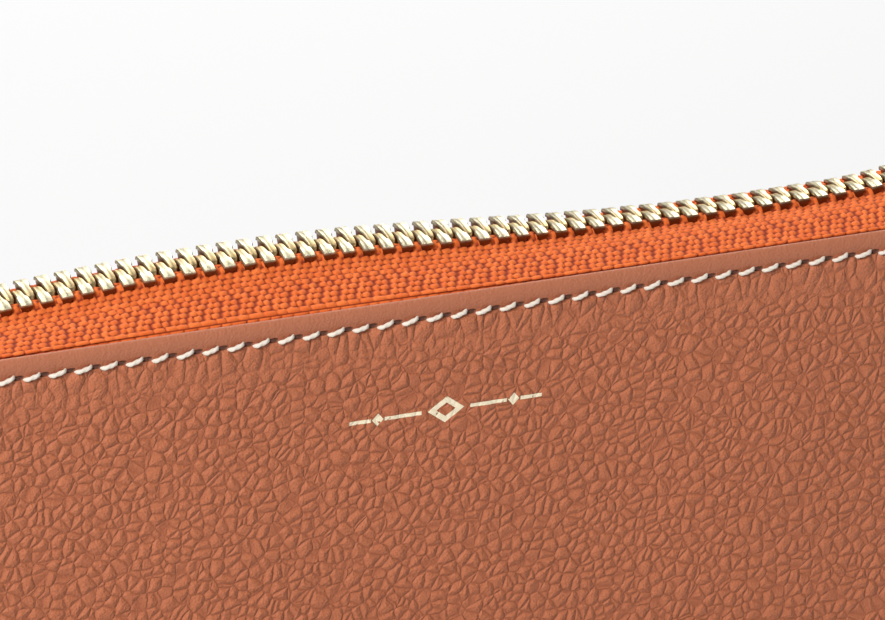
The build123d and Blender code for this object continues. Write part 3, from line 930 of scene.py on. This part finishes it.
def woven_strip(name, distance, across, rise, place, seed, bead_height=BEAD):
    """A strip of thick weave; across and rise say where its face lies at each station and column."""
    stations, columns = across.shape
    width = np.arange(columns) * TAPE_CELL
    slope_across, slope_rise = np.gradient(across, axis=1), np.gradient(rise, axis=1)
    length = np.hypot(slope_across, slope_rise)
    normal_across, normal_rise = -slope_rise / length, slope_across / length
    grid_along, grid_width = np.meshgrid(distance, width, indexing="ij")
    shades = np.random.default_rng(seed).random(SHADES)
    high, phase, shade = weave(grid_along, grid_width, shades)
    bead = bead_height * np.exp(-(((grid_width - 0.9) / 0.75) ** 4))
    lift = bead + (YARN_RELIEF * high - YARN_SUNK) * smooth(grid_width, 0.2, 0.8)
    top = place(grid_along, across + normal_across * lift, rise + normal_rise * lift)
    pick = np.unique(np.linspace(0, columns - 1, 12).astype(int))
    low_across = (across - normal_across * TAPE_THICK)[:, pick]
    low_rise = (rise - normal_rise * TAPE_THICK)[:, pick]
    low = place(grid_along[:, pick], low_across, low_rise)
    count = stations * columns
    quads = [grid_quads(stations, columns), grid_quads(stations, len(pick), count)[:, ::-1]]
    number = np.arange(count).reshape(stations, columns)
    below = count + np.arange(stations * len(pick)).reshape(stations, len(pick))
    for column in (0, -1):
        upper, lower = number[:, column], below[:, column]
        strip = np.stack([upper[:-1], upper[1:], lower[1:], lower[:-1]], axis=-1)
        quads.append(strip if column == 0 else strip[:, ::-1])
    points = np.concatenate([top.reshape(-1, 3), low.reshape(-1, 3)])
    faces = turned_out(points, np.concatenate(quads))
    mesh = mesh_of(name, settle(points), faces)
    facts = np.stack([high, phase, shade], axis=-1).reshape(-1, 3)
    facts = np.concatenate([facts, np.tile([0.6, 0.0, 0.3], (stations * len(pick), 1))])
    vector_attribute(mesh, "weave", facts)
    return piece_of(name, mesh, tape_cloth, "zip_tape")


def along_profile(width, across, rise):
    """A profile's across and rise at widths measured along it."""
    run = np.concatenate([[0], np.cumsum(np.hypot(np.diff(across), np.diff(rise)))])
    return np.interp(width, run, across), np.interp(width, run, rise)


def zip_tape(name, side, node):
    """The main zip's tape: a cord bead between the teeth's legs, then a curve down into the seam."""
    stations = int(RIM_LENGTH / TAPE_CELL)
    distance = np.linspace(0, RIM_LENGTH, stations)
    x = rim(distance)[0]
    edge_rise = -CHAIN_PROUD - np.where(np.abs(x) < RUN_HALF, wave(x), 0.0)
    width = np.arange(0, TAPE_WIDTH, TAPE_CELL)
    rows = [along_profile(width, *tape_profile(edge, side)) for edge in edge_rise]
    across, rise = (np.array(part) for part in zip(*rows))

    def place(along, far, high):
        return rim_place_at(along, side, far, high)

    bead = BEAD if side == FRONT else REAR_BEAD
    piece = woven_strip(name, distance, across, rise, place, 11 + side, bead)
    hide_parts(node)
    return piece


def follow_front(piece):
    """Bakes a front zip part's placement into its mesh."""
    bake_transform(piece)


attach(teeth_row("zip_teeth_rear", REAR, "rear_zip_teeth"), "rear_cover")
follow_front(teeth_row("zip_teeth_front", FRONT, "front_zip_teeth"))
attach(zip_tape("zip_tape_rear", REAR, "rear_zip_tape"), "rear_cover")
follow_front(zip_tape("zip_tape_front", FRONT, "front_zip_tape"))


# Inside: lining, card slots, coin pocket, gussets, and the small leather parts at the ends


def panel(
    name, half_x, foot, top, side, inner, outer, corner,
    lip=0.0, material=thin_leather, slot="lining_leather",
):
    """An upright sheet with rounded edges; its upper edge may be thickened by a turned lip."""
    half_t = (top - foot) / 2
    thick = outer - inner
    points, quads = soft_slab(half_x, half_t, corner, corner, thick, PANEL_CELL, thick / 2)
    x, t, depth = points.T
    below_edge = half_t - t
    bead = lip * np.exp(-(((below_edge - 1.0) / 0.8) ** 2)) * (depth < thick / 2)
    y = side * (inner + depth - bead)
    place = settle(np.stack([x, y, foot + half_t + t], axis=-1))
    return closed_piece(name, place, quads, material, slot)


def stitch_run(start, end, place, scale=0.75):
    """Stitches along a line in a panel's own plane, put in place by a function."""
    shape, quads = stitch_shape()
    start, end = np.array(start, float), np.array(end, float)
    span = np.linalg.norm(end - start)
    onward = (end - start) / span
    across = np.array([-onward[1], onward[0]])
    pitch = STITCH_PITCH * scale
    parts = []
    for k in range(int(span / pitch)):
        middle = start + onward * (k + 0.5) * pitch
        plan = middle + scale * (np.outer(shape[:, 0], onward) + np.outer(shape[:, 1], across))
        at = settle(place(plan[:, 0], plan[:, 1], scale * shape[:, 2]))
        parts.append((at, turned_out(at, quads)))
    return parts


def stitched(name, parts):
    points, quads = joined(parts)
    return piece_of(name, mesh_of(name, points, quads), thread, "lining_leather")


def upright_face(side, face, way=1):
    """Puts a panel's own plane at this distance from the middle; way says where its depth runs."""

    def place(x, z, depth):
        return np.stack([x, side * (face + way * depth), z], axis=-1)

    return place


def end_face(face, way):
    """Puts a strip's own plane across the wallet's end, with its depth running against way."""

    def place(y, z, depth):
        return np.stack([face - way * depth, y, z], axis=-1)

    return place


def ribbon(path, half_width, thickness):
    """A band with rounded edges along a path in a plane; the band's width is the middle column."""
    path = np.asarray(path, float)
    step = np.gradient(path, axis=0)
    step /= np.linalg.norm(step, axis=1)[:, None]
    normal = np.stack([-step[:, 1], step[:, 0]], axis=-1)
    radius = thickness / 2
    turn = np.linspace(-pi / 2, pi / 2, 5)
    flat = np.linspace(-1, 1, 9)[1:-1] * (half_width - radius)
    right = [(half_width - radius + radius * cos(a), radius * sin(a)) for a in turn]
    left = [(-u, -n) for u, n in right]
    section = right + [(u, radius) for u in flat[::-1]] + left + [(u, -radius) for u in flat]
    width, lift = np.array(section).T
    u = path[:, :1] + normal[:, :1] * lift
    w = path[:, 1:] + normal[:, 1:] * lift
    points = np.stack([u, np.broadcast_to(width, u.shape), w], axis=-1)
    return tube(points, first=2)


def arc_points(centre, radius, start, end, count=9):
    turn = np.radians(np.linspace(start, end, count))
    return [(centre[0] + radius * cos(a), centre[1] + radius * sin(a)) for a in turn]


def resampled(path, spacing):
    """The path with points at even distances."""
    path = np.asarray(path, float)
    run = np.concatenate([[0], np.cumsum(np.hypot(*np.diff(path, axis=0).T))])
    at = np.linspace(0, run[-1], max(2, int(run[-1] / spacing) + 1))
    return np.stack([np.interp(at, run, path[:, 0]), np.interp(at, run, path[:, 1])], axis=-1)


def inner_lining():
    """Twill glued inside both covers and over the spine, in one piece."""
    margin, thick, board, cell, roll = 0.8, 0.4, 0.8, 1.2, 0.18
    half_x, half_t, corner = HALF_LENGTH - margin, FLAT_HALF - margin, CORNER - margin
    points, quads = soft_slab(half_x, half_t, corner, corner, thick, cell, roll)
    over_board = smooth(np.abs(points[:, 1]), SPINE_FLAT - 1.0, PANEL_START + 5.0)
    points[:, 2] += LEATHER + board * over_board
    place = settle(bend(points))
    piece = closed_piece("inner_lining", place, quads, lining, "lining_cloth")
    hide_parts("front_lining", "rear_lining", "spine_lining")
    2 * half_x * MM
    2 * half_t * MM
    return piece


CARD_HALF, CARD_FOOT, CARD_TOP, CARD_STEP, CARD_ROWS = 88.0, 10.0, 76.0, 13.0, 4
BACKING_IN, CARD_THICK = 8.3, 0.25


def card_panel(side, body):
    """Backing sheet, four rows of slots with turned mouths, and the threads that hold them."""
    word = SIDE_NAMES[side]
    name = f"{word}_card_backing_sheet"
    top = CARD_TOP + CARD_STEP / 2
    backing = panel(name, CARD_HALF, CARD_FOOT, top, side, BACKING_IN, BACKING_IN + 0.3, 2)
    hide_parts(f"{word}_card_backing")
    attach(backing, body)
    threads = []
    for row in range(CARD_ROWS):
        mouth = CARD_TOP - row * CARD_STEP
        outer = BACKING_IN - row * CARD_THICK
        inner = outer - CARD_THICK
        name = f"{word}_card_strip_{row + 1}"
        half, foot = CARD_HALF - 0.2 * row, CARD_FOOT + 0.15 * row
        strip = panel(name, half, foot, mouth, side, inner, outer, 1.5, lip=0.3)
        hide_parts(f"{word}_card_slot_{row + 1}")
        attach(strip, body)
        place = upright_face(side, inner)
        foot = mouth - CARD_STEP if row < CARD_ROWS - 1 else CARD_FOOT + 2.0
        for x in (1.6 - CARD_HALF, 0.0, CARD_HALF - 1.6):
            threads += stitch_run((x, foot + 0.6), (x, mouth - 1.6), place)
        if row == CARD_ROWS - 1:
            threads += stitch_run((2.4 - CARD_HALF, foot), (CARD_HALF - 2.4, foot), place)
    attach(stitched(f"{word}_card_stitching", threads), body)


GUSSET_FOOT, GUSSET_TOP = 5.0, 73.0


def gusset(side, end, word):
    """A pleat whose fold points into the wallet, with rounded folds."""
    corners = [(92.0, 8.35), (89.9, 6.95), (72.0, 5.85)]
    fold = arc_points((69.7, 5.35), 0.45, 90, 270, 7)
    path = resampled(corners + fold + [(72.0, 4.85), (89.9, 3.72), (91.0, 3.7)], 0.8)
    half = (GUSSET_TOP - GUSSET_FOOT) / 2
    points, quads = ribbon(path, half, 0.4)
    x, z, y = points.T
    slack = 0.12 * np.sin(z / 7.0 + side + end) * smooth(-x, -89.0, -80.0)
    place = settle(np.stack([end * x, side * (y + slack), z + GUSSET_FOOT + half], axis=-1))
    name = f"{SIDE_NAMES[side]}_{word}_pleat"
    piece = closed_piece(name, place, quads, thin_leather, "lining_leather")
    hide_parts(f"{SIDE_NAMES[side]}_{word}_gusset")
    if side == REAR:
        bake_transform(piece)
    else:  # the front pleat is baked in place like the rear one
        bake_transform(piece)


POCKET_HALF, POCKET_FOOT, POCKET_TOP, POCKET_IN, POCKET_OUT = 90.0, 3.0, 72.0, 2.6, 3.0


def coin_wall(side):
    word = SIDE_NAMES[side]
    name = f"coin_{word}_wall"
    wall = panel(name, POCKET_HALF, POCKET_FOOT, POCKET_TOP, side, POCKET_IN, POCKET_OUT, 2)
    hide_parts(f"coin_pocket_{word}_wall")
    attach(wall, "coin_divider")
    place = upright_face(side, POCKET_OUT, -1)
    low, high, edge = POCKET_FOOT + 1.6, POCKET_TOP - 8.0, POCKET_HALF - 1.6
    parts = stitch_run((-edge, low), (edge, low), place)
    for x in (-edge, edge):
        parts += stitch_run((x, low + 2), (x, POCKET_TOP - 2), place)
    parts += stitch_run((3.0 - edge, high), (edge - 3.0, high), place)
    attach(stitched(f"coin_{word}_stitching", parts), "coin_divider")


def coin_base():
    """The lining strip folded up between the pocket's walls, pleated inwards at both ends."""
    thick, bend_radius = 0.5, 3.0
    half, foot = POCKET_HALF - thick / 2, POCKET_FOOT + 2 + thick / 2
    right = arc_points((half - bend_radius, foot + bend_radius), bend_radius, -90, 0)
    left = arc_points((bend_radius - half, foot + bend_radius), bend_radius, 180, 270)
    path = resampled([(-half, POCKET_TOP - 0.3), *left, *right, (half, POCKET_TOP - 0.3)], 1.5)
    points, quads = ribbon(path, POCKET_IN - 0.05, thick)
    x, y, z = points.T
    at_end = smooth(np.abs(x), half - 8, half - 1) * smooth(z, foot + 2, foot + 12)
    pleat = 3.5 * at_end * (1 - np.abs(y) / POCKET_IN)
    place = np.stack([x - np.sign(x) * pleat, y, z], axis=-1)
    piece = closed_piece("coin_pocket_lining", place, quads, lining, "lining_cloth")
    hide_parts("coin_pocket_base")
    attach(piece, "coin_divider")


COIN_CHAIN_Z, COIN_PITCH, COIN_HALF = 81.4, 2.0, 78.0
COIN_SLIDER_X, COIN_SPREAD = 70.0, 1.1


def coin_tape(side):
    """A woven strip under the small teeth that turns down and is sewn onto the pocket's wall."""
    word = SIDE_NAMES[side]
    half = COIN_HALF + 6
    distance = np.arange(-half, half, TAPE_CELL)
    outline_across = [0.85, 3.6, 4.5, 4.8, 3.55, 3.5]
    outline_rise = [0.1, 0.1, -0.1, -0.7, -7.4, -15.4]
    width = np.arange(0, 18.0, TAPE_CELL)
    across, rise = along_profile(width, outline_across, outline_rise)
    shape = (len(distance), len(width))
    flatter = 0.8
    face = COIN_CHAIN_Z - 0.3

    def place(along, far, high):
        return np.stack([along, side * far, face + flatter * high], axis=-1)

    across, rise = np.broadcast_to(across, shape), np.broadcast_to(rise / flatter, shape)
    piece = woven_strip(f"coin_{word}_woven_tape", distance, across, rise, place, 21 + side)
    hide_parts(f"coin_{word}_tape")
    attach(piece, "coin_divider")


def coin_teeth(side):
    """Small teeth of the same shape, pushed aside by the post where the coin slider sits."""
    word = SIDE_NAMES[side]
    scale = COIN_PITCH / PITCH
    along, across, rise = scale * tooth_shape()[0].T
    shift = COIN_PITCH / 2 if side == REAR else 0.0
    places = []
    for k in range(int((2 * COIN_HALF - shift) / COIN_PITCH) + 1):
        x = shift - COIN_HALF + k * COIN_PITCH
        aside = COIN_SPREAD * float(smooth(np.array(x), COIN_SLIDER_X - 2.5, COIN_SLIDER_X))
        place = np.stack([x + along, side * (across + aside), COIN_CHAIN_Z + rise], axis=-1)
        places.append(place)
    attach(row_piece(f"coin_{word}_teeth_row", places, f"coin_{word}_teeth"), "coin_divider")


def folded_leather(name, path, half_width, thickness):
    """A leather strip with its width across the wallet, along a path drawn in X and Z."""
    points, quads = ribbon(resampled(path, 0.35), half_width, thickness)
    return closed_piece(name, points, quads, thin_leather, "cover_leather")


def box_of_stitches(half_width, foot, top, place):
    corners = [(-half_width, foot), (half_width, foot), (half_width, top), (-half_width, top)]
    parts = []
    for start, end in zip(corners, corners[1:] + corners[:1]):
        parts += stitch_run(start, end, place, scale=0.6)
    return parts


def end_tab(end, word):
    """A leather tab folded up round the tails of both tapes and sewn through."""
    gap, thickness, foot, top = 0.9, 0.85, 3.0, 14.0
    fold = arc_points((CHAIN_X, foot + thickness / 2 + gap), gap, 180, 360)
    path = [(CHAIN_X - gap, top), *fold, (CHAIN_X + gap, top)]
    path = [(end * x, z) for x, z in path]
    tab = folded_leather(f"{word}_tail_tab", path, 8.0, thickness)
    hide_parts(f"{word}_end_tab")
    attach(tab, "rear_cover")
    face = end_face(end * (CHAIN_X + gap + thickness / 2), end)
    parts = box_of_stitches(6.6, foot + 2.0, top - 1.3, face)
    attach(stitched(f"{word}_tab_stitching", parts), "rear_cover")


PULL_X, PULL_BAR_Z, PULL_FOOT = 99.1, 32.4, 9.0


def pull_leather():
    """A strip folded over the loop's lower bar and sewn to itself."""
    gap, thickness, round_bar = 0.5, 0.95, 1.2
    over = arc_points((PULL_X, PULL_BAR_Z), round_bar, -15, 195, 15)
    waist = PULL_BAR_Z - 3.2
    path = [(PULL_X + gap, PULL_FOOT), (PULL_X + gap, waist), *over]
    path += [(PULL_X - gap, waist), (PULL_X - gap, PULL_FOOT)]
    pull = folded_leather("pull_tab", path, 3.1, thickness)
    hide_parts("main_pull_leather")
    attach(pull, "main_pull")
    parts = []
    for way in (1, -1):
        face = end_face(PULL_X + way * (gap + thickness / 2), way)
        parts += box_of_stitches(2.1, PULL_FOOT + 1.2, waist - 0.5, face)
    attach(stitched("pull_tab_stitching", parts), "main_pull")


def rear_stiffener():
    """The board inside the rear cover, which sinks with it."""
    half_x, foot, top, inner, outer, corner = 85.0, 6.0, 89.0, 9.0, 9.8, 9
    material = slot_materials["stiffener_board"]
    shape = (half_x, foot, top, REAR, inner, outer, corner)
    board = panel("rear_stiffener", *shape, material=material, slot="stiffener_board")
    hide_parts("rear_board")
    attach(board, "rear_cover")


lining_skin = inner_lining()
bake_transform(lining_skin)
rear_stiffener()
card_panel(FRONT, "front_cover")
card_panel(REAR, "rear_cover")
for cover_side in (FRONT, REAR):
    gusset(cover_side, -1, "left")
    gusset(cover_side, 1, "right")
    coin_wall(cover_side)
    coin_tape(cover_side)
    coin_teeth(cover_side)
coin_base()
end_tab(-1, "left")
end_tab(1, "right")
pull_leather()


# Camera, light and floor


def stage():
    far = 3000.0
    corners = [(-far, -far, 0), (far, -far, 0), (far, far, 0), (-far, far, 0)]
    floor = mesh_of("floor", corners, np.array([[0, 1, 2, 3]]))
    material, _, shader = material_of("pale_floor", 0.9, specular=0.1)
    shader.inputs["Base Color"].default_value = (0.72, 0.72, 0.72, 1)
    floor.materials.append(material)
    placed("floor", floor)


def area_light(name, place, aim, size, power):
    light = bpy.data.lights.new(name, "AREA")
    light.size = size
    light.energy = power
    holder = placed(name, light)
    holder.location = place
    holder.rotation_euler = (Vector(aim) - Vector(place)).to_track_quat("-Z", "Y").to_euler()


def camera():
    right = Vector((0.900, -0.429, 0.078))
    up = Vector((0.133, 0.441, 0.888))
    back = right.cross(up)
    target = Vector((-0.65 * MM, -FACE * MM, (TOP - 1.65) * MM))
    distance, view_width = 0.8, 0.1033
    data = bpy.data.cameras.new("camera")
    data.sensor_width = 36
    data.lens = data.sensor_width * distance / view_width
    data.clip_start, data.clip_end = 0.05, 20
    holder = placed("camera", data)
    turn = Matrix((right, up, back)).transposed().to_4x4()
    holder.matrix_world = Matrix.Translation(target + back * distance) @ turn
    bpy.context.scene.camera = holder


def world():
    sky = bpy.data.worlds.new("studio")
    sky.use_nodes = True
    background = sky.node_tree.nodes["Background"]
    background.inputs["Color"].default_value = (1.0, 1.0, 1.0, 1)
    background.inputs["Strength"].default_value = 0.16
    bpy.context.scene.world = sky
    bpy.context.scene.view_settings.view_transform = "Standard"


stage()
world()
area_light("key", (-0.75, -0.55, 0.85), (0, 0, 0.09), 0.35, 16.5)
area_light("backdrop", (0.3, 0.75, 0.75), (0.15, 0.4, 0.0), 0.6, 8.5)
camera()
